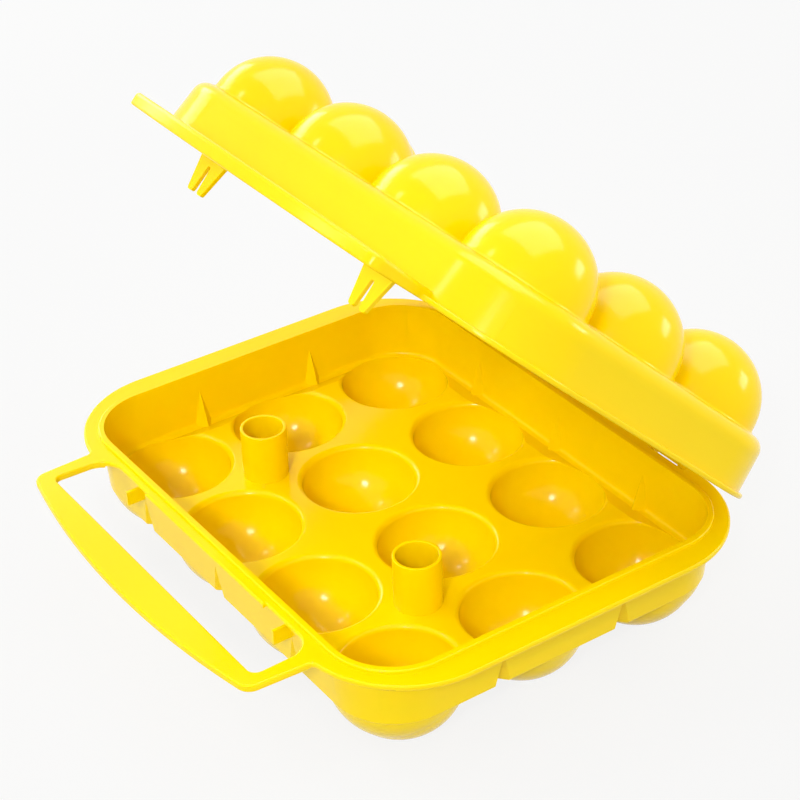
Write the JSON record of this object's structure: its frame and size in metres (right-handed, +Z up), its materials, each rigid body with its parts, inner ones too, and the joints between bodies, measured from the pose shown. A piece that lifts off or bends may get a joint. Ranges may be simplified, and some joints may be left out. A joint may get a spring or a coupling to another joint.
{
  "type": "egg keeper",
  "caption": "Egg keeper with a domed flip lid, round egg cups in a shallow tray, fork latches and a flat carrying handle on each half.",
  "frame": {"origin": "on the table, under the middle of the bounding box of the opened object at rest", "axes": "+X along the long side, +Y from the handle to the hinge, +Z up"},
  "size_m": [0.2032, 0.1982, 0.1708],
  "materials": {
    "yellow_polypropylene": "semi-gloss, moulded"
  },
  "bodies": {
    "tray": {"tray_cup_row1_column1": "yellow_polypropylene", "tray_cup_row1_column2": "yellow_polypropylene", "tray_cup_row1_column3": "yellow_polypropylene", "tray_cup_row1_column4": "yellow_polypropylene", "tray_cup_row2_column1": "yellow_polypropylene", "tray_cup_row2_column2": "yellow_polypropylene", "tray_cup_row2_column3": "yellow_polypropylene", "tray_cup_row2_column4": "yellow_polypropylene", "tray_cup_row3_column1": "yellow_polypropylene", "tray_cup_row3_column2": "yellow_polypropylene", "tray_cup_row3_column3": "yellow_polypropylene", "tray_cup_row3_column4": "yellow_polypropylene", "tray_wall_front": "yellow_polypropylene", "tray_wall_rear": "yellow_polypropylene", "tray_wall_left": "yellow_polypropylene", "tray_wall_right": "yellow_polypropylene", "tray_handle": "yellow_polypropylene", "tray_post_left": "yellow_polypropylene", "tray_latch_rib_left": "yellow_polypropylene", "tray_hinge_bar_left": "yellow_polypropylene", "tray_post_right": "yellow_polypropylene", "tray_latch_rib_right": "yellow_polypropylene", "tray_hinge_bar_right": "yellow_polypropylene"},
    "lid": {"lid_dome_row1_column1": "yellow_polypropylene", "lid_dome_row1_column2": "yellow_polypropylene", "lid_dome_row1_column3": "yellow_polypropylene", "lid_dome_row1_column4": "yellow_polypropylene", "lid_dome_row2_column1": "yellow_polypropylene", "lid_dome_row2_column2": "yellow_polypropylene", "lid_dome_row2_column3": "yellow_polypropylene", "lid_dome_row2_column4": "yellow_polypropylene", "lid_dome_row3_column1": "yellow_polypropylene", "lid_dome_row3_column2": "yellow_polypropylene", "lid_dome_row3_column3": "yellow_polypropylene", "lid_dome_row3_column4": "yellow_polypropylene", "lid_wall_front": "yellow_polypropylene", "lid_wall_rear": "yellow_polypropylene", "lid_wall_left": "yellow_polypropylene", "lid_wall_right": "yellow_polypropylene", "lid_handle": "yellow_polypropylene", "lid_latch_fork_left": "yellow_polypropylene", "lid_hinge_hook_left": "yellow_polypropylene", "lid_latch_fork_right": "yellow_polypropylene", "lid_hinge_hook_right": "yellow_polypropylene"}
  },
  "joints": [
    {"name": "lid_hinge", "type": "hinge", "parent": "tray", "child": "lid", "pos_m": [0, 0.08738, 0.0398], "axis": [-1, 0, 0], "range_deg": [-43.4, 133]}
  ]
}
